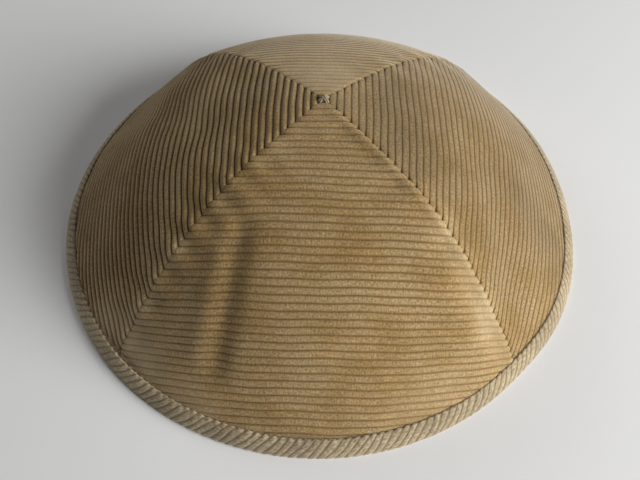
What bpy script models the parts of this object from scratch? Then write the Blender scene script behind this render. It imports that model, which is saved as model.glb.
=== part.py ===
"""A corduroy kippah of four gores, lying rim down, with a bias tape folded over its rim.

Metres, +Z up. The origin is the middle of the rim, at the level that the kippah lies on. Each gore's ribs
(wales) run across it, so together they make squares round the apex. The front gore faces -Y.
"""
import math

import bmesh
import bpy
import numpy as np

# Driving dimensions
RIM_DIAMETER = 0.1854      # across the rim, over the tape
CROWN_HEIGHT = 0.0565      # apex above the rim
WALE_PITCH = 0.00231       # corduroy of 11 wales to the inch
WALE_DEPTH = 0.0006        # crest of a wale down to the valley beside it
CLOTH_WALL = 0.0018        # corduroy with its backing, at a wale's crest
HEM_WALL = 0.0010          # the same cloth pressed flat inside the tape
TAPE_WALL = 0.0011         # one layer of the rim tape
TAPE_WIDTH = 0.0068        # how far up the tape reaches from the rim
TAPE_RISE = 0.0004         # how far the tape stands proud of the wales
TAPE_ROUND = 0.0005        # rounding of the tape's edges
SEAM_DITCH = 0.0009        # how deep the gores' edges dip at a seam
SEAM_ROUND = 0.0024        # width over which they dip
TAPE_DITCH = 0.0004        # how deep the gores dip where the tape is stitched down
APEX_OPENING = 0.0009      # distance from the axis at which the gores' tips stop
PIECE_GAP = 0.0003         # clearance between neighbouring pieces

GORE_ANGLE = math.radians(90)
HALF_GORE = GORE_ANGLE / 2
GORE_COLUMNS = 16          # facets round the rim in each gore, shared by the tape
WALE_COLUMNS = 8           # facets along a wale, between its two rounded ends
LINING_ROWS = 9            # rows of facets down the inner face
ARC_SAMPLES = 400          # steps in which the length of a meridian is added up

# Wales along a gore: the first crest lies this share of a pitch from the apex, and the wale that meets the
# gore's lower corners crosses the gore's middle at this share of the way down it
FIRST_CREST_SHARE = 0.24
CORNER_WALE_SHARE = 0.80
# The wales' ends run down a seam faster near the apex than near the rim, by this share
SEAM_LEAD_SHARE = 0.07
# Share of the narrow, pointed part in the bow that a wale makes across its gore
WALE_POINT_SHARE = 0.20

# name, direction that the gore's middle faces in degrees
GORES = (
    ("panel_front", -90.0),
    ("panel_right", 0.0),
    ("panel_back", 90.0),
    ("panel_left", 180.0),
)

# Down the middle of a gore. out: share of the rim radius. up: share of the crown height.
MIDDLE_PROFILE = (
    (0.00, 1.000),
    (0.10, 0.972),
    (0.20, 0.937),
    (0.35, 0.863),
    (0.50, 0.750),
    (0.65, 0.582),
    (0.80, 0.344),
    (0.90, 0.171),
    (1.00, 0.000),
)

# Down a seam. out: share of the rim radius. up: share of the crown height.
SEAM_PROFILE = (
    (0.00, 1.000),
    (0.10, 0.978),
    (0.20, 0.951),
    (0.35, 0.894),
    (0.50, 0.798),
    (0.65, 0.645),
    (0.80, 0.414),
    (0.90, 0.217),
    (1.00, 0.000),
)

# The soft rim isn't quite round. azimuth: degrees. sway: share of the rim radius.
RIM_SWAY = (
    (0.0, -0.002),
    (30.0, 0.015),
    (60.0, 0.007),
    (90.0, -0.002),
    (120.0, -0.011),
    (150.0, -0.011),
    (180.0, -0.001),
    (210.0, 0.001),
    (240.0, 0.003),
    (270.0, 0.001),
    (300.0, -0.009),
    (315.0, -0.014),
    (330.0, -0.002),
)

# Soft troughs, and ridges where the depth is negative, along a line in plan. All are shares of the rim radius.
# start x, start y, end x, end y, half width, depth
DENTS = (
    (-0.250, -0.44, -0.315, -0.75, 0.042, 0.014),
    (-0.235, -0.36, -0.250, -0.42, 0.045, -0.004),
    (-0.315, -0.51, -0.380, -0.71, 0.045, -0.006),
    (-0.400, -0.40, -0.620, -0.62, 0.130, 0.012),
    (0.300, -0.38, 0.500, -0.68, 0.090, -0.009),
    (0.580, -0.10, 0.650, -0.46, 0.095, 0.016),
    (-0.750, 0.32, -0.420, -0.03, 0.080, 0.012),
)

# Puckers where the sewing thread draws the cloth in.
# azimuth in degrees, depth as a share of the cloth's wall, wales in one pucker, phase in turns
SEAM_PUCKERS = (
    (-45.0, 0.16, 4.6, 0.10),
    (45.0, 0.14, 3.8, 0.35),
    (135.0, 0.14, 4.2, 0.60),
    (225.0, 0.22, 3.4, 0.85),
)
PUCKER_REACH = 0.008       # how far a pucker spreads from its seam

CORDUROY_COLOUR = (0.330, 0.215, 0.105, 1.0)
TAPE_COLOUR = (0.360, 0.285, 0.185, 1.0)


def clear_scene():
    """Start from an empty scene"""
    for item in list(bpy.data.objects):
        bpy.data.objects.remove(item, do_unlink=True)


def smooth(rows, at):
    """Read a two-column table as a smooth curve through its rows"""
    x, y = np.array(rows, dtype=float).T
    slope = np.gradient(y, x)
    at = np.clip(at, x[0], x[-1])
    low = np.clip(np.searchsorted(x, at) - 1, 0, len(x) - 2)
    span = x[low + 1] - x[low]
    t = (at - x[low]) / span
    start = (2 * t**3 - 3 * t**2 + 1) * y[low] + (t**3 - 2 * t**2 + t) * span * slope[low]
    end = (3 * t**2 - 2 * t**3) * y[low + 1] + (t**3 - t**2) * span * slope[low + 1]
    return start + end


def rim_radius(azimuth):
    """Distance from the axis to the rim, at the level of the gores' wales"""
    before = [(angle - 360, sway) for angle, sway in RIM_SWAY[-3:]]
    after = [(angle + 360, sway) for angle, sway in RIM_SWAY[:3]]
    sway = smooth(before + list(RIM_SWAY) + after, np.degrees(azimuth) % 360)
    return (RIM_DIAMETER / 2 - TAPE_RISE) * (1 + sway)


def cloth_height(facing, out, side):
    """Height of the cloth over a point in plan: out along the gore's middle, side across it"""
    angle = np.arctan2(side, out)
    share = np.hypot(out, side) / rim_radius(facing + angle)
    seam = (angle / HALF_GORE) ** 2
    return CROWN_HEIGHT * ((1 - seam) * smooth(MIDDLE_PROFILE, share) + seam * smooth(SEAM_PROFILE, share))


def dent_depth(x, y):
    """Depth of the soft troughs at points in plan"""
    radius = RIM_DIAMETER / 2
    depth = np.zeros_like(x)
    for start_x, start_y, end_x, end_y, width, deepest in DENTS:
        along_x = end_x - start_x
        along_y = end_y - start_y
        from_x = x / radius - start_x
        from_y = y / radius - start_y
        share = np.clip((from_x * along_x + from_y * along_y) / (along_x**2 + along_y**2), 0, 1)
        away = np.hypot(from_x - share * along_x, from_y - share * along_y)
        depth += deepest * radius * np.exp(-(away / width) ** 2)
    return depth


def pucker_depth(x, y):
    """Depth of the puckers beside the four seams at points in plan"""
    depth = np.zeros_like(x)
    for azimuth, share, wales, phase in SEAM_PUCKERS:
        turn = math.radians(azimuth)
        along = x * math.cos(turn) + y * math.sin(turn)
        across = y * math.cos(turn) - x * math.sin(turn)
        wave = np.sin(2 * math.pi * (along / (wales * WALE_PITCH) + phase))
        near = np.exp(-(across / PUCKER_REACH) ** 2) * (along > 0)
        fade = np.clip(along / (RIM_DIAMETER / 4), 0, 1)
        depth += share * CLOTH_WALL * wave * near * fade
    return depth


def cloth_points(facing, out, side, lift):
    """World points of a gore's cloth over points in plan, each lifted square to the cloth"""
    out = np.asarray(out, dtype=float)
    side = np.asarray(side, dtype=float)
    step = WALE_PITCH / 20
    height = cloth_height(facing, out, side)
    slope_out = (cloth_height(facing, out + step, side) - height) / step
    slope_side = (cloth_height(facing, out, side + step) - cloth_height(facing, out, side - step)) / (2 * step)
    size = np.sqrt(slope_out**2 + slope_side**2 + 1)
    x = out * math.cos(facing) - side * math.sin(facing)
    y = out * math.sin(facing) + side * math.cos(facing)
    lift = (lift - dent_depth(x, y) - pucker_depth(x, y)) / size
    return place_in_gore(facing, out - lift * slope_out, side - lift * slope_side, height + lift)


def place_in_gore(facing, out, side, height):
    """World points from a gore's own, kept clear of the planes of its two seams"""
    seam = np.maximum(out - PIECE_GAP / math.sqrt(2), 0)
    side = np.clip(side, -seam, seam)
    x = out * math.cos(facing) - side * math.sin(facing)
    y = out * math.sin(facing) + side * math.cos(facing)
    return np.stack([x, y, height], axis=-1)


def meridian(facing, angle):
    """Arc length from the apex, and distance from the axis, down one meridian of a gore"""
    radius = np.linspace(0, rim_radius(facing + angle), ARC_SAMPLES)
    height = cloth_height(facing, radius * math.cos(angle), radius * math.sin(angle))
    arc = np.concatenate([[0], np.cumsum(np.hypot(np.diff(radius), np.diff(height)))])
    return arc, radius


def tape_line(facing, angle):
    """Distance from the axis at which a gore's wales stop, just above the tape"""
    arc, radius = meridian(facing, angle)
    return np.interp(arc[-1] - TAPE_WIDTH - PIECE_GAP, arc, radius)


def rim_frame(facing, angle):
    """Rim radius on one meridian, and the cloth's slope inside the tape"""
    arc, radius = meridian(facing, angle)
    top = np.interp(arc[-1] - TAPE_WIDTH, arc, radius)
    height = cloth_height(facing, top * math.cos(angle), top * math.sin(angle))
    return radius[-1], math.atan2(height, radius[-1] - top)


def beside_rim(facing, angle, run, rise):
    """Out, side and height of a point beside the rim: run is up along the cloth, rise is square to it"""
    radius, slope = rim_frame(facing, angle)
    reach = radius - run * math.cos(slope) + rise * math.sin(slope)
    height = run * math.sin(slope) + rise * math.cos(slope)
    return reach * math.cos(angle), reach * math.sin(angle), height


def run_to_height(facing, angle, height, rise):
    """How far up along the cloth a point beside the rim reaches this height"""
    slope = rim_frame(facing, angle)[1]
    return (height - rise * math.cos(slope)) / math.sin(slope)


def wale_arcs(facing):
    """Arc lengths down a gore's middle of its crests and valleys in turn, from its tip to the tape"""
    arc, radius = meridian(facing, 0)
    end = np.interp(tape_line(facing, 0), radius, arc)
    rows = [(APEX_OPENING, 0.0)]
    half_pitches = int(end / (WALE_PITCH / 2)) + 1
    for index in range(half_pitches):
        at = (FIRST_CREST_SHARE + index / 2) * WALE_PITCH
        if APEX_OPENING + WALE_PITCH / 3 < at < end - WALE_PITCH / 10:
            rows.append((at, WALE_DEPTH * (index % 2)))
    return rows, end


def wale_end(facing, at, end, hand):
    """Out and side of the end of the wale that crosses a gore's middle at this arc length"""
    corner = CORNER_WALE_SHARE * end
    if at < corner:
        arc, radius = meridian(facing, hand * HALF_GORE)
        line = np.interp(tape_line(facing, hand * HALF_GORE), radius, arc)
        share = at / corner
        reach = np.interp(line * share * (1 + SEAM_LEAD_SHARE * (1 - share**1.5)), arc, radius)
        return reach * math.cos(HALF_GORE), hand * reach * math.sin(HALF_GORE)
    angle = hand * HALF_GORE * math.sqrt((end - at) / (end - corner))
    reach = tape_line(facing, angle)
    return reach * math.cos(angle), reach * math.sin(angle)


def wale_row(facing, at, end, valley):
    """World points along one crest or valley, from the right seam's side to the left's"""
    arc, radius = meridian(facing, 0)
    middle = np.interp(at, arc, radius)
    first = wale_end(facing, at, end, -1)
    last = wale_end(facing, at, end, 1)
    rounded = min(SEAM_ROUND * math.sqrt(2) / last[1], 1 / WALE_COLUMNS)
    across = np.concatenate([[-1], np.linspace(-1 + rounded, 1 - rounded, WALE_COLUMNS + 1), [1]])
    bow = (1 - WALE_POINT_SHARE) * (1 - across**2) + WALE_POINT_SHARE * (1 - np.abs(across) ** 3)
    ends_out = np.where(across < 0, first[0], last[0])
    ends_side = np.where(across < 0, -first[1], last[1])
    out = ends_out + (middle - ends_out) * bow
    side = ends_side * across
    at_end = np.zeros_like(across)
    at_end[[0, -1]] = 1
    ditch = SEAM_DITCH if at < CORNER_WALE_SHARE * end else TAPE_DITCH
    lift = -valley * (1 - at_end / 2) - ditch * at_end
    return cloth_points(facing, out, side, lift)


def gore_columns():
    """Angles of the facets round one gore, the same as the tape's"""
    return np.linspace(-HALF_GORE, HALF_GORE, GORE_COLUMNS + 1)


def lining_row(facing, share):
    """World points of one row of the inner face, at a share of the way down to the tape"""
    points = []
    for angle in gore_columns():
        arc, radius = meridian(facing, angle)
        line = np.interp(tape_line(facing, angle) - TAPE_WIDTH / 4, radius, arc)
        reach = np.interp(APEX_OPENING + (line - APEX_OPENING) * share, arc, radius)
        points.append((reach * math.cos(angle), reach * math.sin(angle)))
    out, side = np.array(points).T
    return cloth_points(facing, out, side, -CLOTH_WALL)


def hem_row(facing, rise, height=None):
    """World points of one row of the pressed hem: at a height, or else just above the tape's edge"""
    points = []
    for angle in gore_columns():
        run = TAPE_WIDTH + PIECE_GAP
        if height is not None:
            run = run_to_height(facing, angle, height, rise)
        points.append(beside_rim(facing, angle, run, rise))
    out, side, up = np.array(points).T
    return place_in_gore(facing, out, side, up)


def add_row(mesh, points):
    """New vertices at a row of points"""
    return [mesh.verts.new(point) for point in points]


def fill_between(mesh, first, second):
    """Four-sided faces between two rows of as many vertices"""
    for index in range(len(first) - 1):
        mesh.faces.new((first[index], first[index + 1], second[index + 1], second[index]))


def shares_along(row):
    """Share of a chain's length at each of its vertices"""
    steps = [(b.co - a.co).length for a, b in zip(row, row[1:])]
    total = np.concatenate([[0], np.cumsum(steps)])
    return total / total[-1]


def stitch(mesh, first, second):
    """Triangles between two chains of unlike counts, stepping on whichever chain lags"""
    first_shares = shares_along(first)
    second_shares = shares_along(second)
    i = 0
    j = 0
    while i < len(first) - 1 or j < len(second) - 1:
        first_left = i < len(first) - 1
        second_left = j < len(second) - 1
        if first_left and (not second_left or first_shares[i + 1] <= second_shares[j + 1]):
            mesh.faces.new((first[i], first[i + 1], second[j]))
            i += 1
        else:
            mesh.faces.new((first[i], second[j + 1], second[j]))
            j += 1


def finish_object(name, mesh, colour, collection):
    """Make a named object with its own material from a closed mesh"""
    bmesh.ops.recalc_face_normals(mesh, faces=mesh.faces)
    data = bpy.data.meshes.new(name)
    mesh.to_mesh(data)
    mesh.free()
    item = bpy.data.objects.new(name, data)
    collection.objects.link(item)
    data.materials.append(make_cloth(name + "_cloth", colour))
    data.shade_smooth()
    data.set_sharp_from_angle(angle=math.radians(35))
    return item


def make_cloth(name, colour):
    """Matt woven cotton"""
    material = bpy.data.materials.new(name)
    material.use_nodes = True
    shader = material.node_tree.nodes["Principled BSDF"]
    shader.inputs["Base Color"].default_value = colour
    shader.inputs["Roughness"].default_value = 0.95
    shader.inputs["Metallic"].default_value = 0.0
    return material


def make_gore(name, facing, collection):
    """One gore: a ribbed outer face, a plain inner face and a hem pressed flat for the tape"""
    mesh = bmesh.new()
    arcs, end = wale_arcs(facing)
    ribs = [add_row(mesh, wale_row(facing, at, end, valley)) for at, valley in arcs]
    for upper, lower in zip(ribs, ribs[1:]):
        fill_between(mesh, upper, lower)
    on_seam = [row for row, (at, valley) in zip(ribs, arcs) if at < CORNER_WALE_SHARE * end]
    on_tape = ribs[len(on_seam):]

    outer_rise = TAPE_RISE - TAPE_WALL - PIECE_GAP
    inner_rise = outer_rise - HEM_WALL
    foot = TAPE_WALL + PIECE_GAP
    outer_hem = [add_row(mesh, hem_row(facing, outer_rise)), add_row(mesh, hem_row(facing, outer_rise, foot))]
    inner_hem = [add_row(mesh, hem_row(facing, inner_rise)), add_row(mesh, hem_row(facing, inner_rise, foot))]
    lining = [add_row(mesh, lining_row(facing, share)) for share in np.linspace(0, 1, LINING_ROWS)]

    right_ends = [row[0] for row in [on_seam[-1]] + on_tape[:-1]]
    left_ends = [row[-1] for row in [on_seam[-1]] + on_tape[:-1]]
    tape_chain = right_ends + on_tape[-1] + left_ends[::-1]
    stitch(mesh, tape_chain, outer_hem[0])
    fill_between(mesh, outer_hem[0], outer_hem[1])
    fill_between(mesh, outer_hem[1], inner_hem[1])
    inner_rows = lining + inner_hem
    for upper, lower in zip(inner_rows, inner_rows[1:]):
        fill_between(mesh, upper, lower)

    stitch(mesh, ribs[0], lining[0])
    for end_index in (0, -1):
        outer_chain = [row[end_index] for row in on_seam + outer_hem]
        inner_chain = [row[end_index] for row in inner_rows]
        stitch(mesh, outer_chain, inner_chain)
    return finish_object(name, mesh, CORDUROY_COLOUR, collection)


def tape_section(facing, angle):
    """World points round the folded tape's section on one meridian"""
    outer = TAPE_RISE
    outer_back = outer - TAPE_WALL
    inner_back = outer_back - 2 * PIECE_GAP - HEM_WALL
    inner = inner_back - TAPE_WALL
    bend = 2 * TAPE_ROUND
    top = TAPE_WIDTH
    corners = (
        (top - TAPE_ROUND, outer),
        (run_to_height(facing, angle, bend, outer), outer),
        (run_to_height(facing, angle, 0, outer - TAPE_ROUND), outer - TAPE_ROUND),
        (run_to_height(facing, angle, 0, inner + TAPE_ROUND), inner + TAPE_ROUND),
        (run_to_height(facing, angle, bend, inner), inner),
        (top - TAPE_ROUND, inner),
        (top, inner + TAPE_ROUND),
        (top, inner_back),
        (run_to_height(facing, angle, TAPE_WALL, inner_back), inner_back),
        (run_to_height(facing, angle, TAPE_WALL, outer_back), outer_back),
        (top, outer_back),
        (top, outer - TAPE_ROUND),
    )
    points = [beside_rim(facing, angle, run, rise) for run, rise in corners]
    out, side, height = np.array(points).T
    x = out * math.cos(facing) - side * math.sin(facing)
    y = out * math.sin(facing) + side * math.cos(facing)
    return np.stack([x, y, height], axis=-1)


def make_tape(name, collection):
    """The bias tape, folded over the gores' hems all round the rim"""
    mesh = bmesh.new()
    sections = []
    for gore_name, degrees in GORES:
        for angle in gore_columns()[:-1]:
            sections.append(add_row(mesh, tape_section(math.radians(degrees), angle)))
    for section, following in zip(sections, sections[1:] + sections[:1]):
        fill_between(mesh, section + section[:1], following + following[:1])
    return finish_object(name, mesh, TAPE_COLOUR, collection)


def main():
    clear_scene()
    collection = bpy.data.collections.new("corduroy_kippah")
    bpy.context.scene.collection.children.link(collection)
    for name, degrees in GORES:
        make_gore(name, math.radians(degrees), collection)
    make_tape("rim_binding", collection)


main()
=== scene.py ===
import math

import bmesh
import bpy
import numpy as np
from mathutils import Euler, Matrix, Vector


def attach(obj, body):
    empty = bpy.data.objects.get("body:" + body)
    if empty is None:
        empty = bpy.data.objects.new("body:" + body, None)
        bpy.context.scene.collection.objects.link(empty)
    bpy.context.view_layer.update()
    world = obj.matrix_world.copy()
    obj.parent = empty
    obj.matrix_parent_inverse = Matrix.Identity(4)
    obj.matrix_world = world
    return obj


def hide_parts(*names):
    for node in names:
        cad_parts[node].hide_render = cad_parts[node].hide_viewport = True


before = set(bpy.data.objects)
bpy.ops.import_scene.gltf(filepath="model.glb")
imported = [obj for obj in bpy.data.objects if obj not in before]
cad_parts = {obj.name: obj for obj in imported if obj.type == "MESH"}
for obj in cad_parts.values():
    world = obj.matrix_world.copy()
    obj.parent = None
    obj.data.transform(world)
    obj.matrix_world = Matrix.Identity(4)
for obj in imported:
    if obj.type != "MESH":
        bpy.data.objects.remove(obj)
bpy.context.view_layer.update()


# Camera
# It looks down on the front gore from a hand's reach, as the photograph does, with the rim's middle on
# its axis. The lens and shift are set for a frame 640 pixels wide, in which the object lies low.

PHOTO_WIDTH = 640
CAMERA_ELEVATION = math.radians(52.81)
CAMERA_DISTANCE = 0.263
CAMERA_ROLL = math.radians(1.48)
FOCAL_PIXELS = 709.4
AXIS_RIGHT_PIXELS = 0.9
AXIS_UP_PIXELS = 30.9


def aim_camera():
    """A camera at the photograph's angle, with its frame"""
    data = bpy.data.cameras.new("camera")
    data.sensor_width = 36
    data.lens = FOCAL_PIXELS * data.sensor_width / PHOTO_WIDTH
    data.shift_x = -AXIS_RIGHT_PIXELS / PHOTO_WIDTH
    data.shift_y = -AXIS_UP_PIXELS / PHOTO_WIDTH
    data.clip_start = 0.01
    camera = bpy.data.objects.new("camera", data)
    bpy.context.scene.collection.objects.link(camera)
    back = Vector((0, -math.cos(CAMERA_ELEVATION), math.sin(CAMERA_ELEVATION)))
    camera.location = back * CAMERA_DISTANCE
    turn = Euler((math.radians(90) - CAMERA_ELEVATION, 0, 0)).to_matrix()
    roll = Euler((0, 0, CAMERA_ROLL)).to_matrix()
    camera.rotation_euler = (turn @ roll).to_euler()
    bpy.context.scene.camera = camera


aim_camera()


# The four gores
# Each is a wedge of wide-wale cotton corduroy, cut so that its ribs run across it and sewn to its two
# neighbours. The cut pile stands in round-topped wales with a narrow valley between, and the gore's lower
# edge is pressed flat inside the rim binding.

RIM_DIAMETER = 0.1854
CROWN_HEIGHT = 0.0565
WALE_PITCH = 0.00231
WALE_DEPTH = 0.00042
CLOTH_WALL = 0.0017
HEM_WALL = 0.0010
TAPE_WALL = 0.0011
TAPE_WIDTH = 0.0068
TAPE_RISE = 0.0004
LAYER_GAP = 0.0003
SEAM_GAP = 0.00008
TIP_REACH = 0.0004

HALF_GORE = math.radians(45)
FIRST_VALLEY = 0.74
CORNER_WALE = 0.80
SEAM_LEAD = 0.11
WALE_POINT = 0.20
ROWS_IN_WALE = (0.0, 0.055, 0.14, 0.29, 0.5, 0.71, 0.86, 0.945)
GORE_COLUMNS = 200
COLUMN_CROWDING = 1.6
LINING_STEP = 5
HEM_COLUMNS = 64

# node, direction its middle faces in degrees, how deep and how narrow its valleys are under the brushed
# pile, how much lighter the gore is painted, as a share (painted light and shade for how the light falls on
# each gore), and how far its edge stands over its neighbour's (0 to 1) at its clockwise and at its other seam
GORES = (
    ("panel_front", -90.0, 0.95, 4.0, 0.00, 0.2, 1.0),
    ("panel_right", 0.0, 0.50, 4.5, -0.20, 0.1, 0.0),
    ("panel_back", 90.0, 0.80, 4.5, 0.10, 0.1, 0.0),
    ("panel_left", 180.0, 1.50, 2.6, -0.06, 0.0, 0.1),
)

# out: share of the rim radius, up: share of the crown height
MIDDLE_PROFILE = (
    (0.00, 1.000),
    (0.10, 0.972),
    (0.20, 0.937),
    (0.35, 0.863),
    (0.50, 0.750),
    (0.65, 0.582),
    (0.80, 0.344),
    (0.90, 0.171),
    (1.00, 0.000),
)
SEAM_PROFILE = (
    (0.00, 1.000),
    (0.10, 0.978),
    (0.20, 0.951),
    (0.35, 0.894),
    (0.50, 0.798),
    (0.65, 0.645),
    (0.80, 0.414),
    (0.90, 0.217),
    (1.00, 0.000),
)

# azimuth in degrees, sway of the soft rim as a share of its radius
RIM_SWAY = (
    (0.0, -0.002),
    (30.0, 0.015),
    (60.0, 0.007),
    (90.0, -0.002),
    (120.0, -0.011),
    (150.0, -0.011),
    (180.0, -0.001),
    (210.0, 0.001),
    (240.0, 0.003),
    (270.0, 0.001),
    (300.0, -0.009),
    (315.0, -0.014),
    (330.0, -0.002),
)

# Soft troughs and, where the depth is negative, ridges. All are shares of the rim radius.
# start x, start y, end x, end y, half width, depth
DENTS = (
    (-0.250, -0.44, -0.315, -0.75, 0.042, 0.014),
    (-0.235, -0.36, -0.250, -0.42, 0.045, -0.004),
    (-0.315, -0.51, -0.380, -0.71, 0.045, -0.006),
    (-0.400, -0.40, -0.620, -0.62, 0.130, 0.012),
    (0.300, -0.38, 0.500, -0.68, 0.090, -0.009),
    (0.580, -0.10, 0.650, -0.46, 0.095, 0.016),
    (-0.750, 0.32, -0.420, -0.03, 0.080, 0.012),
)

# Painted light and shade: strokes in plan like the dents', where the cloth is painted lighter or darker for how
# the light falls on it. The last number is how much lighter it is painted, as a share.
PAINTED_LIGHT_MARKS = (
    (0.235, 0.10, 0.285, -0.16, 0.110, -0.18),
    (-0.215, 0.13, -0.250, 0.01, 0.070, -0.22),
    (0.380, -0.37, 0.560, -0.61, 0.060, 0.22),
    (-0.730, -0.57, -0.580, -0.72, 0.090, 0.45),
    (0.620, -0.63, 0.770, -0.46, 0.120, 0.14),
    (0.270, -0.86, 0.430, -0.79, 0.080, 0.15),
    (-0.300, -0.50, -0.360, -0.74, 0.050, -0.22),
    (-0.450, -0.44, -0.620, -0.60, 0.028, 0.22),
    (-0.440, -0.82, -0.350, -0.87, 0.070, 0.20),
    (-0.394, 0.20, -0.470, 0.04, 0.090, 0.25),
    (-0.050, 0.15, 0.050, 0.15, 0.120, 0.20),
    (0.710, -0.11, 0.830, -0.22, 0.100, -0.15),
    (-0.900, 0.05, -0.860, -0.20, 0.090, -0.10),
)

# azimuth of the seam in degrees, pucker depth as a share of the wall, wales in one pucker, phase in turns
SEAM_PUCKERS = (
    (-45.0, 0.16, 4.6, 0.10),
    (45.0, 0.14, 3.8, 0.35),
    (135.0, 0.14, 4.2, 0.60),
    (225.0, 0.22, 3.4, 0.85),
)
PUCKER_REACH = 0.008

SEAM_DITCH = 0.0002
SEAM_DITCH_WIDTH = 0.0006
EDGE_RISE = 0.0006
EDGE_RISE_WIDTH = 0.0020
TAPE_DITCH = 0.00015
TAPE_DITCH_WIDTH = 0.0012
TAPE_DITCH_FLOOR = 0.00022
TIP_DEPTH = 0.00035
TIP_DEPTH_WIDTH = 0.0010
WALE_WANDER = 0.00013

CREST_COLOUR = (0.372, 0.262, 0.128, 1.0)
CREST_SHADE_COLOUR = (0.300, 0.193, 0.074, 1.0)
CREST_WARM_COLOUR = (0.410, 0.258, 0.118, 1.0)
# Painted shade: the valley colour darkens the recesses between the wales
VALLEY_PAINTED_SHADE_COLOUR = (0.185, 0.107, 0.028, 1.0)
# Painted sheen: a pale grey-tan that the lighter marks of painted light blend toward
PAINTED_SHEEN_COLOUR = (0.480, 0.380, 0.235, 1.0)


def smooth(rows, at):
    """Read a two-column table as a smooth curve through its rows"""
    x, y = np.array(rows, dtype=float).T
    slope = np.gradient(y, x)
    at = np.clip(at, x[0], x[-1])
    low = np.clip(np.searchsorted(x, at) - 1, 0, len(x) - 2)
    span = x[low + 1] - x[low]
    t = (at - x[low]) / span
    start = (2 * t**3 - 3 * t**2 + 1) * y[low] + (t**3 - 2 * t**2 + t) * span * slope[low]
    end = (3 * t**2 - 2 * t**3) * y[low + 1] + (t**3 - t**2) * span * slope[low + 1]
    return start + end


def rim_radius(azimuth):
    """Distance from the axis to the rim, at the level of the wales"""
    before = [(angle - 360, sway) for angle, sway in RIM_SWAY[-3:]]
    after = [(angle + 360, sway) for angle, sway in RIM_SWAY[:3]]
    sway = smooth(before + list(RIM_SWAY) + after, np.degrees(azimuth) % 360)
    return (RIM_DIAMETER / 2 - TAPE_RISE) * (1 + sway)


def cloth_height(facing, out, side):
    """Height of the cloth over a point in plan: out along the gore's middle, side across it"""
    angle = np.arctan2(side, out)
    share = np.hypot(out, side) / rim_radius(facing + angle)
    seam = (angle / HALF_GORE) ** 2
    return CROWN_HEIGHT * ((1 - seam) * smooth(MIDDLE_PROFILE, share) + seam * smooth(SEAM_PROFILE, share))


def turn_out(facing, out, side):
    """World x and y of a gore's own out and side"""
    x = out * math.cos(facing) - side * math.sin(facing)
    y = out * math.sin(facing) + side * math.cos(facing)
    return x, y


def soft_strokes(x, y, strokes):
    """Sum of soft-edged strokes at points in plan, from a table in shares of the rim radius"""
    radius = RIM_DIAMETER / 2
    total = np.zeros_like(x)
    for start_x, start_y, end_x, end_y, width, strength in strokes:
        along_x = end_x - start_x
        along_y = end_y - start_y
        from_x = x / radius - start_x
        from_y = y / radius - start_y
        share = np.clip((from_x * along_x + from_y * along_y) / (along_x**2 + along_y**2), 0, 1)
        away = np.hypot(from_x - share * along_x, from_y - share * along_y)
        total += strength * np.exp(-(away / width) ** 2)
    return total


def hollow_depth(x, y):
    """Depth of the soft dents and of the puckers beside the seams, at points in plan"""
    depth = RIM_DIAMETER / 2 * soft_strokes(x, y, DENTS)
    for azimuth, share, wales, phase in SEAM_PUCKERS:
        turn = math.radians(azimuth)
        along = x * math.cos(turn) + y * math.sin(turn)
        across = y * math.cos(turn) - x * math.sin(turn)
        wave = np.sin(2 * math.pi * (along / (wales * WALE_PITCH) + phase))
        near = np.exp(-(across / PUCKER_REACH) ** 2) * (along > 0)
        fade = np.clip(along / (RIM_DIAMETER / 4), 0, 1)
        depth += share * CLOTH_WALL * wave * near * fade
    return depth


def place_in_gore(facing, out, side, height):
    """World points, kept just clear of the planes of the gore's two seams"""
    seam = np.maximum(out - SEAM_GAP / math.sqrt(2), 0)
    x, y = turn_out(facing, out, np.clip(side, -seam, seam))
    return np.stack([x, y, height], axis=-1)


def lay_cloth(facing, out, side, lift):
    """World points of the cloth lifted square to itself, and the direction that its face looks in"""
    step = WALE_PITCH / 20
    height = cloth_height(facing, out, side)
    slope_out = (cloth_height(facing, out + step, side) - height) / step
    slope_side = (cloth_height(facing, out, side + step) - cloth_height(facing, out, side - step)) / (2 * step)
    size = np.sqrt(slope_out**2 + slope_side**2 + 1)
    x, y = turn_out(facing, out, side)
    lift = (lift - hollow_depth(x, y)) / size
    points = place_in_gore(facing, out - lift * slope_out, side - lift * slope_side, height + lift)
    way_x, way_y = turn_out(facing, -slope_out / size, -slope_side / size)
    return points, np.stack([way_x, way_y, 1 / size], axis=-1)


def meridian(facing, angle):
    """Arc length from the apex, and distance from the axis, down one meridian of a gore"""
    radius = np.linspace(0, rim_radius(facing + angle), 400)
    height = cloth_height(facing, radius * math.cos(angle), radius * math.sin(angle))
    arc = np.concatenate([[0], np.cumsum(np.hypot(np.diff(radius), np.diff(height)))])
    return arc, radius


def tape_line(facing, angle):
    """Distance from the axis at which a gore's wales stop, just above the tape"""
    arc, radius = meridian(facing, angle)
    return np.interp(arc[-1] - TAPE_WIDTH - LAYER_GAP, arc, radius)


def beside_rim(facing, angle, run, rise):
    """Out, side and height of points beside the rim: run is up along the cloth, rise is square to it"""
    arc, radius = meridian(facing, angle)
    top = np.interp(arc[-1] - TAPE_WIDTH, arc, radius)
    top_height = cloth_height(facing, top * math.cos(angle), top * math.sin(angle))
    slope = math.atan2(top_height, radius[-1] - top)
    reach = radius[-1] - run * math.cos(slope) + rise * math.sin(slope)
    height = run * math.sin(slope) + rise * math.cos(slope)
    return reach * math.cos(angle), reach * math.sin(angle), height


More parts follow.
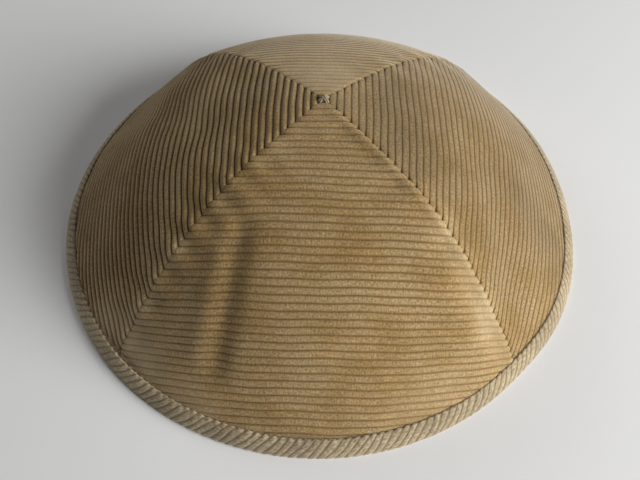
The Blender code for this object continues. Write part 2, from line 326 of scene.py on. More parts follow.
def wale_ends(facing, at, end):
    """Out and side of both ends of each wale, by its arc length down the gore's middle"""
    corner = CORNER_WALE * end
    sides = []
    for hand in (-1, 1):
        arc, radius = meridian(facing, hand * HALF_GORE)
        line = np.interp(tape_line(facing, hand * HALF_GORE), radius, arc)
        share = np.clip(at / corner, 0, 1)
        reach = np.interp(line * share * (1 + SEAM_LEAD * (1 - share**1.5)), arc, radius)
        angle = hand * HALF_GORE * np.sqrt(np.clip((end - at) / (end - corner), 0, 1))
        angles = np.linspace(0, hand * HALF_GORE, 25)
        line_reach = [tape_line(facing, one) for one in angles]
        low_reach = np.interp(np.abs(angle), np.abs(angles), line_reach)
        reach = np.where(at < corner, reach, low_reach)
        angle = np.where(at < corner, hand * HALF_GORE, angle)
        sides.append((reach * np.cos(angle), reach * np.sin(angle)))
    return sides


def seam_distance(out, side):
    """Distance in plan to the nearer seam of the gore"""
    return np.maximum(out - np.abs(side), 0) / math.sqrt(2)


def edge_lift(facing, out, side, standing):
    """How the gore's edge rolls up beside its seams and sinks into them, and dips beside the tape"""
    to_seam = seam_distance(out, side)
    toward = (np.clip(side / out, -1, 1) + 1) / 2
    stand = standing[0] + (standing[1] - standing[0]) * toward**2 * (3 - 2 * toward)
    roll = EDGE_RISE * stand * np.exp(-((to_seam - EDGE_RISE_WIDTH * 0.7) / EDGE_RISE_WIDTH) ** 2)
    near_apex = np.clip(np.hypot(out, side) / (6 * WALE_PITCH), 0.25, 1)
    ditch = SEAM_DITCH * np.exp(-(to_seam / SEAM_DITCH_WIDTH) ** 2)
    angles = np.linspace(-HALF_GORE, HALF_GORE, 49)
    line = np.interp(np.arctan2(side, out), angles, [tape_line(facing, one) for one in angles])
    to_tape = (line - np.hypot(out, side)) * math.sqrt(2)
    dip = TAPE_DITCH * np.exp(-(to_tape / TAPE_DITCH_WIDTH) ** 2)
    return (roll - ditch) * near_apex - dip


def quads_between(first, second):
    """Four-sided faces between two rows of as many vertex numbers"""
    return [(first[i], first[i + 1], second[i + 1], second[i]) for i in range(len(first) - 1)]


def stitch_rows(points, first, second):
    """Triangles between two rows of unlike counts, stepping on whichever row lags"""
    shares = []
    for row in (first, second):
        steps = np.linalg.norm(np.diff(points[row], axis=0), axis=1)
        total = np.concatenate([[0], np.cumsum(steps)])
        shares.append(total / total[-1])
    faces = []
    i = 0
    j = 0
    while i < len(first) - 1 or j < len(second) - 1:
        ahead = j == len(second) - 1
        if i < len(first) - 1 and (ahead or shares[0][i + 1] <= shares[1][j + 1]):
            faces.append((first[i], first[i + 1], second[j]))
            i += 1
        else:
            faces.append((first[i], second[j + 1], second[j]))
            j += 1
    return faces


def make_piece(name, points, faces, weave, pile, way, painted_light, ring=(0, 0)):
    """A mesh object with its weave as a UV map, its painted light and shade, and what the ribs are raised by as
    attributes.
    ring: how many points a closed ring's section has, and how many ribs there are right round it"""
    data = bpy.data.meshes.new(name)
    data.from_pydata(points.tolist(), [], faces)
    mesh = bmesh.new()
    mesh.from_mesh(data)
    bmesh.ops.recalc_face_normals(mesh, faces=mesh.faces)
    mesh.to_mesh(data)
    mesh.free()
    corner_vertices = np.empty(len(data.loops), dtype=np.int32)
    data.loops.foreach_get("vertex_index", corner_vertices)
    corners = weave[corner_vertices]
    if ring[0]:
        last = corners[-4 * ring[0]:]
        last[corner_vertices[-4 * ring[0]:] < ring[0], 1] += ring[1]
    layer = data.uv_layers.new(name="weave")
    layer.data.foreach_set("uv", corners.astype(np.float32).ravel())
    data.attributes.new("wale", "FLOAT", "POINT").data.foreach_set("value", weave[:, 1].astype(np.float32))
    data.attributes.new("pile", "FLOAT", "POINT").data.foreach_set("value", pile.astype(np.float32))
    data.attributes.new("painted_light", "FLOAT", "POINT").data.foreach_set("value", painted_light.astype(np.float32))
    data.attributes.new("way", "FLOAT_VECTOR", "POINT").data.foreach_set("vector", way.astype(np.float32).ravel())
    item = bpy.data.objects.new(name, data)
    bpy.context.scene.collection.objects.link(item)
    return item


def cut_gore(name, facing, wale_depth, painted_lightness, standing):
    """One gore as a closed sheet: the outer face row by row, the lining face and the pressed hem"""
    arc, radius = meridian(facing, 0)
    end = np.interp(tape_line(facing, 0), radius, arc)
    rows = [TIP_REACH]
    for index in range(-1, int(end / WALE_PITCH) + 1):
        for step in ROWS_IN_WALE:
            at = (FIRST_VALLEY + index + step) * WALE_PITCH
            if TIP_REACH + WALE_PITCH / 30 < at < end - WALE_PITCH / 30:
                rows.append(at)
    at = np.array(rows)
    (first_out, first_side), (last_out, last_side) = wale_ends(facing, at, end)
    spread = np.linspace(-1, 1, GORE_COLUMNS + 1)
    across = np.sign(spread) * (1 - (1 - np.abs(spread)) ** COLUMN_CROWDING)
    bow = (1 - WALE_POINT) * (1 - across**2) + WALE_POINT * (1 - np.abs(across) ** 3)
    end_out = np.where(across[None] < 0, first_out[:, None], last_out[:, None])
    end_side = np.where(across[None] < 0, -first_side[:, None], last_side[:, None])
    middle = np.interp(at, arc, radius)[:, None]
    wander = np.sin(end_side * across / 0.0063 + at[:, None] / 0.011 + 2 * facing)
    wander += np.sin(end_side * across / 0.0027 - at[:, None] / 0.006 + 5 * facing) * 0.5
    out = end_out + (middle - end_out) * bow + WALE_WANDER * wander * np.sqrt(bow)
    side = end_side * across
    face, face_way = lay_cloth(facing, out, side, edge_lift(facing, out, side, standing))
    wale = np.repeat(at[:, None] / WALE_PITCH - FIRST_VALLEY, len(across), 1)
    face_weave = np.stack([side / WALE_PITCH, wale], -1)

    lining_rows = list(range(0, len(at) - 12, len(ROWS_IN_WALE)))
    lining_columns = list(range(0, GORE_COLUMNS + 1, LINING_STEP))
    pick = np.ix_(lining_rows, lining_columns)
    lining, lining_way = lay_cloth(facing, out[pick], side[pick], -CLOTH_WALL)

    outer_rise = TAPE_RISE - TAPE_WALL - LAYER_GAP
    foot = (TAPE_WALL + LAYER_GAP) * math.sqrt(2)
    hem = []
    under = TAPE_WIDTH + LAYER_GAP / 6
    hem_levels = ((under, -TAPE_DITCH_FLOOR), (under, outer_rise), (foot + HEM_WALL, outer_rise),
                  (foot + 2 * HEM_WALL, outer_rise - HEM_WALL), (TAPE_WIDTH + LAYER_GAP, outer_rise - HEM_WALL))
    for run, rise in hem_levels:
        row = [beside_rim(facing, angle, run, rise) for angle in np.linspace(-HALF_GORE, HALF_GORE, HEM_COLUMNS + 1)]
        hem.append(place_in_gore(facing, *np.array(row).T))
    hem = np.array(hem)

    points = np.concatenate([face.reshape(-1, 3), lining.reshape(-1, 3), hem.reshape(-1, 3)])
    face_index = np.arange(face[..., 0].size).reshape(face.shape[:2])
    lining_index = np.arange(lining[..., 0].size).reshape(lining.shape[:2]) + face_index.size
    hem_index = np.arange(hem[..., 0].size).reshape(hem.shape[:2]) + face_index.size + lining_index.size
    faces = []
    for grid in (face_index, lining_index):
        for upper, lower in zip(grid, grid[1:]):
            faces += quads_between(upper.tolist(), lower.tolist())
    for upper, lower in zip(hem_index, hem_index[1:]):
        faces += quads_between(upper.tolist(), lower.tolist())
    seamed = int((at < CORNER_WALE * end).sum())
    tape_chain = [row[0] for row in face_index[seamed - 1:-1]] + list(face_index[-1])
    tape_chain += [row[-1] for row in face_index[seamed - 1:-1]][::-1]
    faces += stitch_rows(points, tape_chain, list(hem_index[0]))
    lining_seamed = [row for row, number in zip(lining_index, lining_rows) if number < seamed]
    low_rows = lining_index[len(lining_seamed) - 1:-1]
    lining_chain = [row[0] for row in low_rows] + list(lining_index[-1]) + [row[-1] for row in low_rows][::-1]
    faces += stitch_rows(points, lining_chain, list(hem_index[-1]))
    faces += stitch_rows(points, list(face_index[0]), list(lining_index[0]))
    for hand in (0, -1):
        outer = [row[hand] for row in face_index[:seamed]] + [row[hand] for row in hem_index[:3]]
        inner = [row[hand] for row in lining_seamed] + [hem_index[4][hand], hem_index[3][hand]]
        faces += stitch_rows(points, outer, inner)

    plain = np.full((lining_index.size + hem_index.size, 2), 0.5)
    weave = np.concatenate([face_weave.reshape(-1, 2), plain])
    tips = 1 + TIP_DEPTH / wale_depth * np.exp(-(seam_distance(out, side) / TIP_DEPTH_WIDTH) ** 2)
    pile = np.concatenate([tips.ravel(), np.zeros(lining_index.size + hem_index.size)])
    hem_way = np.zeros((hem_index.size, 3))
    way = np.concatenate([face_way.reshape(-1, 3), lining_way.reshape(-1, 3), hem_way])
    # Painted light and shade: the gore's share lighter or darker, plus the strokes
    painted_light = painted_lightness + soft_strokes(points[:, 0], points[:, 1], PAINTED_LIGHT_MARKS)
    return make_piece(name, points, [tuple(int(i) for i in one) for one in faces], weave, pile, way, painted_light)


def link_math(tree, operation, first, second=None):
    """A math node on sockets or numbers, and its output"""
    node = tree.nodes.new("ShaderNodeMath")
    node.operation = operation
    for socket, value in zip(node.inputs, (first, second)):
        if value is None:
            continue
        if isinstance(value, (int, float)):
            socket.default_value = value
        else:
            tree.links.new(value, socket)
    return node.outputs[0]


def wale_raiser():
    """Geometry nodes that sink the valleys between wales and give the pile its unevenness"""
    tree = bpy.data.node_groups.new("wale_raiser", "GeometryNodeTree")
    face = tree.interface
    face.new_socket("Cloth", in_out="INPUT", socket_type="NodeSocketGeometry")
    for label, value in (("Wale depth", WALE_DEPTH), ("Valley sharpness", 4.0), ("Unevenness", 0.00008),
                         ("Unevenness scale", 260.0)):
        socket = face.new_socket(label, in_out="INPUT", socket_type="NodeSocketFloat")
        socket.default_value = value
    face.new_socket("Cloth material", in_out="INPUT", socket_type="NodeSocketMaterial")
    face.new_socket("Cloth", in_out="OUTPUT", socket_type="NodeSocketGeometry")
    given = tree.nodes.new("NodeGroupInput").outputs
    named = {}
    for label, kind, output in (("wale", "FLOAT", 0), ("pile", "FLOAT", 0), ("way", "FLOAT_VECTOR", 0)):
        node = tree.nodes.new("GeometryNodeInputNamedAttribute")
        node.data_type = kind
        node.inputs["Name"].default_value = label
        named[label] = node.outputs["Attribute"]
    part = link_math(tree, "FRACT", named["wale"])
    from_crest = link_math(tree, "ABSOLUTE", link_math(tree, "SUBTRACT", link_math(tree, "MULTIPLY", part, 2.0), 1.0))
    sink = link_math(tree, "POWER", from_crest, given["Valley sharpness"])
    sink = link_math(tree, "MULTIPLY", sink, given["Wale depth"])
    noise = tree.nodes.new("ShaderNodeTexNoise")
    noise.inputs["Detail"].default_value = 2.0
    tree.links.new(given["Unevenness scale"], noise.inputs["Scale"])
    uneven = link_math(tree, "SUBTRACT", noise.outputs[0], 0.5)
    uneven = link_math(tree, "MULTIPLY", uneven, given["Unevenness"])
    uneven = link_math(tree, "MULTIPLY", uneven, 2.0)
    lift = link_math(tree, "MULTIPLY", link_math(tree, "SUBTRACT", uneven, sink), named["pile"])
    scale = tree.nodes.new("ShaderNodeVectorMath")
    scale.operation = "SCALE"
    tree.links.new(named["way"], scale.inputs[0])
    tree.links.new(lift, scale.inputs["Scale"])
    move = tree.nodes.new("GeometryNodeSetPosition")
    tree.links.new(given["Cloth"], move.inputs["Geometry"])
    tree.links.new(scale.outputs[0], move.inputs["Offset"])
    soften = tree.nodes.new("GeometryNodeSetShadeSmooth")
    tree.links.new(move.outputs[0], soften.inputs["Geometry"])
    finish_tree(tree, soften.outputs[0], given["Cloth material"])
    return tree


def finish_tree(tree, geometry, material):
    """End a tree in real geometry of one material"""
    realize = tree.nodes.new("GeometryNodeRealizeInstances")
    tree.links.new(geometry, realize.inputs[0])
    paint = tree.nodes.new("GeometryNodeSetMaterial")
    tree.links.new(realize.outputs[0], paint.inputs["Geometry"])
    tree.links.new(material, paint.inputs["Material"])
    end = tree.nodes.new("NodeGroupOutput")
    tree.links.new(paint.outputs[0], end.inputs[0])


def grow(item, tree, values):
    """Run a tree on an object with its named inputs, and keep the result as a plain mesh"""
    modifier = item.modifiers.new("grow", "NODES")
    modifier.node_group = tree
    for socket in tree.interface.items_tree:
        if socket.in_out == "INPUT" and socket.name in values:
            modifier[socket.identifier] = values[socket.name]
    bpy.context.view_layer.update()
    seen = item.evaluated_get(bpy.context.evaluated_depsgraph_get())
    graph = bpy.context.evaluated_depsgraph_get()
    grown = bpy.data.meshes.new_from_object(seen, preserve_all_data_layers=True, depsgraph=graph)
    item.modifiers.remove(modifier)
    old = item.data
    item.data = grown
    bpy.data.meshes.remove(old)
    grown.name = item.name


def shade_noise(tree, vector, scale, detail, stretch=(1, 1, 1)):
    """A noise node's value on stretched coordinates"""
    mapping = tree.nodes.new("ShaderNodeMapping")
    mapping.inputs["Scale"].default_value = stretch
    tree.links.new(vector, mapping.inputs["Vector"])
    noise = tree.nodes.new("ShaderNodeTexNoise")
    noise.inputs["Scale"].default_value = scale
    noise.inputs["Detail"].default_value = detail
    tree.links.new(mapping.outputs[0], noise.inputs["Vector"])
    return noise.outputs[0]


def ramp(tree, value, low, high):
    """Map a value so that low gives 0 and high gives 1, softly"""
    node = tree.nodes.new("ShaderNodeMapRange")
    node.interpolation_type = "SMOOTHSTEP"
    node.inputs["From Min"].default_value = low
    node.inputs["From Max"].default_value = high
    tree.links.new(value, node.inputs["Value"])
    return node.outputs[0]


def blend_colours(tree, share, first, second, mode="MIX"):
    """Mix two colours, each a socket or a constant"""
    node = tree.nodes.new("ShaderNodeMix")
    node.data_type = "RGBA"
    node.blend_type = mode
    inputs = [socket for socket in node.inputs if socket.type == "RGBA"]
    for socket, value in ((node.inputs[0], share), (inputs[0], first), (inputs[1], second)):
        if isinstance(value, (tuple, float, int)):
            socket.default_value = value
        else:
            tree.links.new(value, socket)
    return [socket for socket in node.outputs if socket.type == "RGBA"][0]


def corduroy(name, crest, shade, warm, valley_painted_shade):
    """Cut-pile cotton: pale brushed crests with fine grain, valleys darkened by painted shade, and marks of painted
    light and shade, the lighter ones blended toward a painted sheen
    """
    material = bpy.data.materials.new(name)
    material.use_nodes = True
    tree = material.node_tree
    shader = tree.nodes["Principled BSDF"]
    weave = tree.nodes.new("ShaderNodeUVMap")
    weave.uv_map = "weave"
    place = tree.nodes.new("ShaderNodeTexCoord").outputs["Object"]
    split = tree.nodes.new("ShaderNodeSeparateXYZ")
    tree.links.new(weave.outputs[0], split.inputs[0])
    part = link_math(tree, "FRACT", split.outputs["Y"])
    from_crest = link_math(tree, "ABSOLUTE", link_math(tree, "SUBTRACT", link_math(tree, "MULTIPLY", part, 2.0), 1.0))
    grain = shade_noise(tree, weave.outputs[0], 3.4, 3.0, (1.2, 1.0, 1.0))
    streaks = shade_noise(tree, weave.outputs[0], 3.0, 2.0, (2.2, 0.35, 1.0))
    patches = shade_noise(tree, place, 75.0, 3.0)
    hues = shade_noise(tree, place, 140.0, 2.0)
    colour = blend_colours(tree, ramp(tree, patches, 0.35, 0.7), crest, shade)
    colour = blend_colours(tree, link_math(tree, "MULTIPLY", ramp(tree, hues, 0.5, 0.75), 0.6), colour, warm)
    rough_valley_shade_edge = link_math(tree, "MULTIPLY", link_math(tree, "SUBTRACT", grain, 0.5), 0.8)
    valley_shade_edge = link_math(tree, "ADD", from_crest, rough_valley_shade_edge)
    # Painted shade in the valleys between the wales
    colour = blend_colours(tree, ramp(tree, valley_shade_edge, 0.48, 1.05), colour, valley_painted_shade)
    flecks = blend_colours(tree, ramp(tree, grain, 0.25, 0.75), (0.62, 0.59, 0.54, 1.0), (1.35, 1.37, 1.39, 1.0))
    colour = blend_colours(tree, 1.0, colour, flecks, "MULTIPLY")
    bands = blend_colours(tree, ramp(tree, streaks, 0.3, 0.7), (0.86, 0.85, 0.83, 1.0), (1.12, 1.12, 1.12, 1.0))
    colour = blend_colours(tree, 1.0, colour, bands, "MULTIPLY")
    # Painted light and shade: the colour is scaled lighter or darker by the marks
    painted_light = tree.nodes.new("ShaderNodeAttribute")
    painted_light.attribute_name = "painted_light"
    painted_light_scaled = tree.nodes.new("ShaderNodeVectorMath")
    painted_light_scaled.operation = "SCALE"
    tree.links.new(colour, painted_light_scaled.inputs[0])
    tree.links.new(link_math(tree, "ADD", painted_light.outputs["Fac"], 1.0), painted_light_scaled.inputs["Scale"])
    # Painted sheen: the lighter marks are blended toward a pale grey-tan
    painted_sheen_share = link_math(tree, "MULTIPLY", ramp(tree, painted_light.outputs["Fac"], 0.0, 0.45), 0.6)
    colour = blend_colours(tree, painted_sheen_share, painted_light_scaled.outputs[0], PAINTED_SHEEN_COLOUR)
    tree.links.new(colour, shader.inputs["Base Color"])
    shader.inputs["Roughness"].default_value = 0.92
    shader.inputs["Specular IOR Level"].default_value = 0.15
    shader.inputs["Sheen Weight"].default_value = 0.55
    shader.inputs["Sheen Roughness"].default_value = 0.45
    shader.inputs["Sheen Tint"].default_value = (1.0, 0.93, 0.80, 1.0)
    bump = tree.nodes.new("ShaderNodeBump")
    bump.inputs["Strength"].default_value = 0.6
    bump.inputs["Distance"].default_value = 0.00013
    height = link_math(tree, "ADD", grain, link_math(tree, "MULTIPLY", streaks, 0.5))
    tree.links.new(height, bump.inputs["Height"])
    tree.links.new(bump.outputs[0], shader.inputs["Normal"])
    return material


raiser = wale_raiser()
gore_cloth = corduroy("gore_corduroy", CREST_COLOUR, CREST_SHADE_COLOUR, CREST_WARM_COLOUR, VALLEY_PAINTED_SHADE_COLOUR)
for gore_name, degrees, deep, narrow, painted_lightness, *standing in GORES:
    gore = cut_gore("cloth_" + gore_name, math.radians(degrees), WALE_DEPTH * deep, painted_lightness, standing)
    valleys = {"Wale depth": WALE_DEPTH * deep, "Valley sharpness": narrow}
    grow(gore, raiser, {**valleys, "Cloth material": gore_cloth})
    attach(gore, "root")
    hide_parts(gore_name)


# The rim binding
# A tape of the same corduroy cut on the bias, stretched round the rim and folded over the gores' raw
# edge. Its ribs slant across it, narrower than the gores' because the cloth is pulled.

TAPE_RIBS = 213
TAPE_RIB_SLANT = math.radians(50)
TAPE_RIB_DEPTH = 0.00027
TAPE_RIB_SHARPNESS = 3.6
SECTIONS_IN_RIB = 6
TAPE_BELLY = 0.0004
TAPE_ROUND = 0.0006
TAPE_STITCHES = 224
STITCH_PUFF = 0.00035
PUFF_REACH = 0.0013
RIB_WANDER = 0.14
TAPE_CREST_COLOUR = (0.455, 0.370, 0.240, 1.0)
TAPE_SHADE_COLOUR = (0.340, 0.270, 0.175, 1.0)
TAPE_WARM_COLOUR = (0.420, 0.310, 0.190, 1.0)
# Painted shade: the valley colour darkens the recesses between the tape's ribs
TAPE_VALLEY_PAINTED_SHADE_COLOUR = (0.185, 0.138, 0.080, 1.0)


def tape_outline():
    """Run and rise of the folded tape's section: its shown face from edge to edge, then its back"""
    inside = TAPE_RISE - 2 * TAPE_WALL - 2 * LAYER_GAP - HEM_WALL
    middle = (TAPE_RISE + inside) / 2
    half = (TAPE_RISE - inside) / 2
    top = TAPE_WIDTH - TAPE_ROUND
    shown = []
    for angle in np.linspace(0, math.pi / 2, 5):
        shown.append((top + TAPE_ROUND * math.cos(angle), TAPE_RISE - TAPE_ROUND * (1 - math.sin(angle))))
    for share in np.linspace(0, 1, 13)[1:]:
        belly = TAPE_BELLY * math.sin(math.pi * share) ** 0.7
        shown.append((top - share * (top - half), TAPE_RISE + belly))
    for angle in np.linspace(0, math.pi, 13)[1:-1]:
        shown.append((half - half * math.sin(angle), middle + half * math.cos(angle)))
    for share in np.linspace(0, 1, 9):
        shown.append((half + share * (top - half), inside - TAPE_BELLY / 2 * math.sin(math.pi * share)))
    for angle in np.linspace(math.pi / 2, 0, 5)[1:]:
        shown.append((top + TAPE_ROUND * math.cos(angle), inside + TAPE_ROUND * (1 - math.sin(angle))))
    hidden = [
        (TAPE_WIDTH, inside + TAPE_WALL),
        (half + TAPE_WALL, inside + TAPE_WALL),
        (half, middle),
        (half + TAPE_WALL, TAPE_RISE - TAPE_WALL),
        (TAPE_WIDTH, TAPE_RISE - TAPE_WALL),
    ]
    return np.array(shown), np.array(hidden)


def fold_tape(name):
    """The closed ring of tape, section by section round the rim"""
    shown, hidden = tape_outline()
    plain = np.concatenate([shown, hidden])
    across = np.zeros(len(plain))
    across[:len(shown)] = np.concatenate([[0], np.cumsum(np.linalg.norm(np.diff(shown, axis=0), axis=1))])
    tangent = np.gradient(shown, axis=0)
    tangent /= np.linalg.norm(tangent, axis=1)[:, None]
    facing_run = -tangent[:, 1]
    facing_rise = tangent[:, 0]
    near_edge = np.exp(-((TAPE_WIDTH - shown[:, 0]) / PUFF_REACH) ** 2)
    count = TAPE_RIBS * SECTIONS_IN_RIB
    points = []
    ways = []
    weave = []
    rib_length = math.pi * RIM_DIAMETER / TAPE_RIBS
    for number in range(count):
        turn = 2 * math.pi * number / count
        gore_number = int(((turn + HALF_GORE) % (2 * math.pi)) // (2 * HALF_GORE))
        facing = gore_number * 2 * HALF_GORE
        angle = (turn - facing + math.pi) % (2 * math.pi) - math.pi
        puff = STITCH_PUFF * (abs(math.cos(TAPE_STITCHES * turn / 2)) - 0.5)
        outline = plain.copy()
        outline[:len(shown)] += near_edge[:, None] * puff * np.stack([np.ones(len(shown)), -facing_rise * 0.5], -1)
        out, side, height = beside_rim(facing, angle, outline[:, 0], outline[:, 1])
        x, y = turn_out(facing, out, side)
        points.append(np.stack([x, y, np.maximum(height, 0.0001)], -1))
        tip_out, tip_side, tip_height = beside_rim(facing, angle, outline[:len(shown), 0] - facing_run * 0.001,
                                                   outline[:len(shown), 1] - facing_rise * 0.001)
        tip_x, tip_y = turn_out(facing, tip_out, tip_side)
        way = np.zeros((len(plain), 3))
        base = np.stack([x, y, height], -1)[:len(shown)]
        way[:len(shown)] = (np.stack([tip_x, tip_y, tip_height], -1) - base) / 0.001
        ways.append(way)
        rib = TAPE_RIBS * number / count + across / (math.tan(TAPE_RIB_SLANT) * rib_length)
        rib = rib + RIB_WANDER * (math.sin(23 * turn) + math.sin(61 * turn + 1) + np.sin(900 * across + 37 * turn)) / 2
        weave.append(np.stack([across / rib_length, rib], -1))
    points = np.array(points)
    index = np.arange(points[..., 0].size).reshape(points.shape[:2])
    faces = []
    for here, following in zip(index, np.roll(index, -1, axis=0)):
        faces += quads_between(list(here) + [here[0]], list(following) + [following[0]])
    pile = np.zeros(points.shape[:2])
    pile[:, :len(shown)] = 1
    pile[:, :len(shown)] -= 0.6 * near_edge
    faces = [tuple(int(i) for i in one) for one in faces]
    points = points.reshape(-1, 3)
    # Half the strokes of painted light and shade fall on the tape as well
    painted_light = soft_strokes(points[:, 0], points[:, 1], PAINTED_LIGHT_MARKS) * 0.5
    return make_piece(name, points, faces, np.array(weave).reshape(-1, 2), pile.ravel(),
                      np.array(ways).reshape(-1, 3), painted_light, (len(plain), TAPE_RIBS))


tape_cloth = corduroy("tape_corduroy", TAPE_CREST_COLOUR, TAPE_SHADE_COLOUR, TAPE_WARM_COLOUR, TAPE_VALLEY_PAINTED_SHADE_COLOUR)
tape = fold_tape("bias_tape")
grow(tape, raiser, {"Wale depth": TAPE_RIB_DEPTH, "Valley sharpness": TAPE_RIB_SHARPNESS, "Cloth material": tape_cloth})
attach(tape, "root")
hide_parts("rim_binding")


# The stitches that hold the binding
# One row of brown polyester thread sunk in the ditch above the tape, and the same row where it comes out
# inside. The needle holes stand 2.6 mm apart, and the thread lies nearly level between two of them.

STITCH_RADIUS = 0.00013
STITCH_HALF_LENGTH = 0.00080
STITCH_LEVEL = -0.0002
STITCH_RUN = 0.00012
THREAD_COLOUR = (0.150, 0.085, 0.035, 1.0)
THREAD_TWIST = 0.00045


def twisted_thread(name, colour):
    """Spun thread with a little shine and the ridges of its twist"""
    material = bpy.data.materials.new(name)
    material.use_nodes = True
    tree = material.node_tree
    shader = tree.nodes["Principled BSDF"]
    place = tree.nodes.new("ShaderNodeTexCoord").outputs["Object"]
    fuzz = shade_noise(tree, place, 1 / THREAD_TWIST, 3.0)
    dark = tuple(0.6 * part for part in colour[:3]) + (1.0,)
    light = tuple(1.4 * part for part in colour[:3]) + (1.0,)
    tree.links.new(blend_colours(tree, ramp(tree, fuzz, 0.3, 0.7), dark, light), shader.inputs["Base Color"])
    shader.inputs["Roughness"].default_value = 0.7
    bump = tree.nodes.new("ShaderNodeBump")
    bump.inputs["Strength"].default_value = 0.5
    bump.inputs["Distance"].default_value = 0.00005
    tree.links.new(fuzz, bump.inputs["Height"])
    tree.links.new(bump.outputs[0], shader.inputs["Normal"])
    return material


def stitch_row():
    """Geometry nodes that lay stitches end to end along a line, each a little out of true"""
    tree = bpy.data.node_groups.new("stitch_row", "GeometryNodeTree")
    face = tree.interface
    face.new_socket("Line", in_out="INPUT", socket_type="NodeSocketGeometry")
    for label, value in (("Thread radius", STITCH_RADIUS), ("Half length", STITCH_HALF_LENGTH), ("Tilt", 0.06)):
        face.new_socket(label, in_out="INPUT", socket_type="NodeSocketFloat").default_value = value
    for label, value in (("Stitches", TAPE_STITCHES), ("Seed", 7)):
        face.new_socket(label, in_out="INPUT", socket_type="NodeSocketInt").default_value = value
    face.new_socket("Thread material", in_out="INPUT", socket_type="NodeSocketMaterial")
    face.new_socket("Stitches", in_out="OUTPUT", socket_type="NodeSocketGeometry")
    given = tree.nodes.new("NodeGroupInput").outputs
    line = tree.nodes.new("GeometryNodeMeshToCurve")
    tree.links.new(given["Line"], line.inputs[0])
    spots = tree.nodes.new("GeometryNodeCurveToPoints")
    tree.links.new(line.outputs[0], spots.inputs["Curve"])
    tree.links.new(given["Stitches"], spots.inputs["Count"])
    turn = tree.nodes.new("FunctionNodeAlignRotationToVector")
    turn.axis = "Z"
    tree.links.new(spots.outputs["Tangent"], turn.inputs["Vector"])
    lean = tree.nodes.new("FunctionNodeRandomValue")
    lean.data_type = "FLOAT_VECTOR"
    most = tree.nodes.new("ShaderNodeCombineXYZ")
    least = tree.nodes.new("ShaderNodeCombineXYZ")
    for axis in (0, 1):
        tree.links.new(given["Tilt"], most.inputs[axis])
        tree.links.new(link_math(tree, "MULTIPLY", given["Tilt"], -1.0), least.inputs[axis])
    tree.links.new(least.outputs[0], lean.inputs["Min"])
    tree.links.new(most.outputs[0], lean.inputs["Max"])
    tree.links.new(given["Seed"], lean.inputs["Seed"])
    tilt = tree.nodes.new("FunctionNodeEulerToRotation")
    tree.links.new(lean.outputs[0], tilt.inputs[0])
    both = tree.nodes.new("FunctionNodeRotateRotation")
    both.rotation_space = "LOCAL"
    tree.links.new(turn.outputs[0], both.inputs["Rotation"])
    tree.links.new(tilt.outputs[0], both.inputs["Rotate By"])
    thread = tree.nodes.new("GeometryNodeMeshUVSphere")
    thread.inputs["Segments"].default_value = 8
    thread.inputs["Rings"].default_value = 7
    thread.inputs["Radius"].default_value = 1.0
    shape = tree.nodes.new("ShaderNodeCombineXYZ")
    for axis, label in enumerate(("Thread radius", "Thread radius", "Half length")):
        tree.links.new(given[label], shape.inputs[axis])
    lay = tree.nodes.new("GeometryNodeInstanceOnPoints")
    tree.links.new(spots.outputs["Points"], lay.inputs["Points"])
    tree.links.new(thread.outputs["Mesh"], lay.inputs["Instance"])
    tree.links.new(both.outputs[0], lay.inputs["Rotation"])
    tree.links.new(shape.outputs[0], lay.inputs["Scale"])
    soften = tree.nodes.new("GeometryNodeSetShadeSmooth")
    tree.links.new(lay.outputs[0], soften.inputs["Geometry"])
    finish_tree(tree, soften.outputs[0], given["Thread material"])
    return tree


def make_lines(name, lines, closed):
    """A mesh object of bare lines through rows of points"""
    points = [tuple(point) for line in lines for point in line]
    edges = []
    first = 0
    for line in lines:
        numbers = list(range(first, first + len(line)))
        edges += list(zip(numbers, numbers[1:])) + ([(numbers[-1], first)] if closed else [])
        first += len(line)
    data = bpy.data.meshes.new(name)
    data.from_pydata(points, edges, [])
    item = bpy.data.objects.new(name, data)
    bpy.context.scene.collection.objects.link(item)
    return item


def rim_line(run, rise):
    """World points all round the rim beside the tape, starting at the middle of a stitch"""
    points = []
    for number in range(4 * TAPE_STITCHES):
        turn = 2 * math.pi * (number / 4 + 0.5) / TAPE_STITCHES
        facing = int(((turn + HALF_GORE) % (2 * math.pi)) // (2 * HALF_GORE)) * 2 * HALF_GORE
        angle = (turn - facing + math.pi) % (2 * math.pi) - math.pi
        out, side, height = beside_rim(facing, angle, run, rise)
        x, y = turn_out(facing, out, side)
        points.append((x, y, height))
    return points


inner_level = TAPE_RISE - 2 * TAPE_WALL - 2 * LAYER_GAP - HEM_WALL
sewing = stitch_row()
brown_thread = twisted_thread("brown_thread", THREAD_COLOUR)
for row_name, level, seed in (("ditch_stitches_outside", STITCH_LEVEL, 7), ("ditch_stitches_inside", inner_level, 8)):
    stitches = make_lines(row_name, [rim_line(TAPE_WIDTH + STITCH_RUN, level)], True)
    grow(stitches, sewing, {"Seed": seed, "Thread material": brown_thread})
    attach(stitches, "root")


# The tack at the apex
# A few turns of tan thread cross over the four gores' tips and draw them together into a small knot.

TACK_RADIUS = 0.00020
TACK_REACH = 0.0020
TACK_RISE = 0.00022
TACK_COLOUR = (0.350, 0.280, 0.175, 1.0)
# azimuth in degrees and shift to one side, as a share of the reach
TACK_STRANDS = ((42, -0.22), (48, 0.02), (44, 0.24), (132, -0.20), (139, 0.05), (134, 0.27))


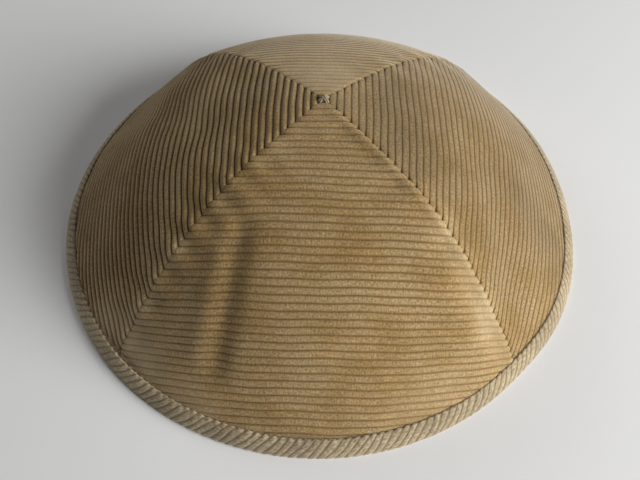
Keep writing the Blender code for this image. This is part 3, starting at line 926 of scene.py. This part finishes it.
def thread_spinner():
    """Geometry nodes that make round thread of bare lines"""
    tree = bpy.data.node_groups.new("thread_spinner", "GeometryNodeTree")
    face = tree.interface
    face.new_socket("Lines", in_out="INPUT", socket_type="NodeSocketGeometry")
    face.new_socket("Thread radius", in_out="INPUT", socket_type="NodeSocketFloat").default_value = TACK_RADIUS
    face.new_socket("Thread material", in_out="INPUT", socket_type="NodeSocketMaterial")
    face.new_socket("Thread", in_out="OUTPUT", socket_type="NodeSocketGeometry")
    given = tree.nodes.new("NodeGroupInput").outputs
    line = tree.nodes.new("GeometryNodeMeshToCurve")
    tree.links.new(given["Lines"], line.inputs[0])
    ring = tree.nodes.new("GeometryNodeCurvePrimitiveCircle")
    ring.inputs["Resolution"].default_value = 8
    tree.links.new(given["Thread radius"], ring.inputs["Radius"])
    sweep = tree.nodes.new("GeometryNodeCurveToMesh")
    sweep.inputs["Fill Caps"].default_value = True
    tree.links.new(line.outputs[0], sweep.inputs["Curve"])
    tree.links.new(ring.outputs[0], sweep.inputs["Profile Curve"])
    soften = tree.nodes.new("GeometryNodeSetShadeSmooth")
    tree.links.new(sweep.outputs[0], soften.inputs["Geometry"])
    finish_tree(tree, soften.outputs[0], given["Thread material"])
    return tree


def tack_lines():
    """Points of each strand, up out of the cloth, over the tips and down again"""
    lines = []
    for number, (degrees, shift) in enumerate(TACK_STRANDS):
        turn = math.radians(degrees)
        line = []
        for share in np.linspace(-1, 1, 13):
            x = TACK_REACH * (share * math.cos(turn) - shift * math.sin(turn))
            y = TACK_REACH * (share * math.sin(turn) + shift * math.cos(turn))
            cloth = cloth_height(0.0, np.array(math.hypot(x, y)), np.array(0.0))
            lift = TACK_RISE * (1.5 - 3 * share**4) + (0.6 * TACK_RADIUS if number > 2 else 0)
            line.append((x, y, float(cloth) + lift * (1 if share**2 < 1 else 1.3)))
        lines.append(line)
    return lines


tack = make_lines("apex_tack", tack_lines(), False)
grow(tack, thread_spinner(), {"Thread material": twisted_thread("tan_thread", TACK_COLOUR)})
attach(tack, "root")


# Studio
# A plain pale table top, one large soft light low on the right, a weaker one from behind on the left, and
# weak light from all round, so that the left gore falls into shade as it does in the photograph.

FLOOR_COLOUR = (0.86, 0.86, 0.85, 1.0)


def lay_floor():
    """The pale surface that the kippah lies on"""
    bpy.ops.mesh.primitive_plane_add(size=6.0, location=(0, 0, 0))
    floor = bpy.context.object
    floor.name = "table_top"
    material = bpy.data.materials.new("pale_table")
    material.use_nodes = True
    shader = material.node_tree.nodes["Principled BSDF"]
    shader.inputs["Base Color"].default_value = FLOOR_COLOUR
    shader.inputs["Roughness"].default_value = 0.8
    floor.data.materials.append(material)


def hang_light(name, place, size, power, colour):
    """A soft square lamp that faces the kippah"""
    data = bpy.data.lights.new(name, "AREA")
    data.size = size
    data.energy = power
    data.color = colour
    lamp = bpy.data.objects.new(name, data)
    bpy.context.scene.collection.objects.link(lamp)
    lamp.location = place
    lamp.rotation_euler = (-Vector(place)).to_track_quat("-Z", "Y").to_euler()


def light_room(strength):
    """Even weak light from all round"""
    world = bpy.data.worlds.new("room")
    world.use_nodes = True
    world.node_tree.nodes["Background"].inputs["Color"].default_value = (1.0, 1.0, 1.0, 1.0)
    world.node_tree.nodes["Background"].inputs["Strength"].default_value = strength
    bpy.context.scene.world = world


lay_floor()
light_room(0.06)
hang_light("key", (0.845, -0.345, 0.407), 0.6, 15.2, (1.0, 1.0, 1.0))
hang_light("fill", (-0.641, 0.641, 0.423), 0.5, 2.5, (1.0, 1.0, 1.0))
bpy.context.scene.view_settings.view_transform = "Standard"
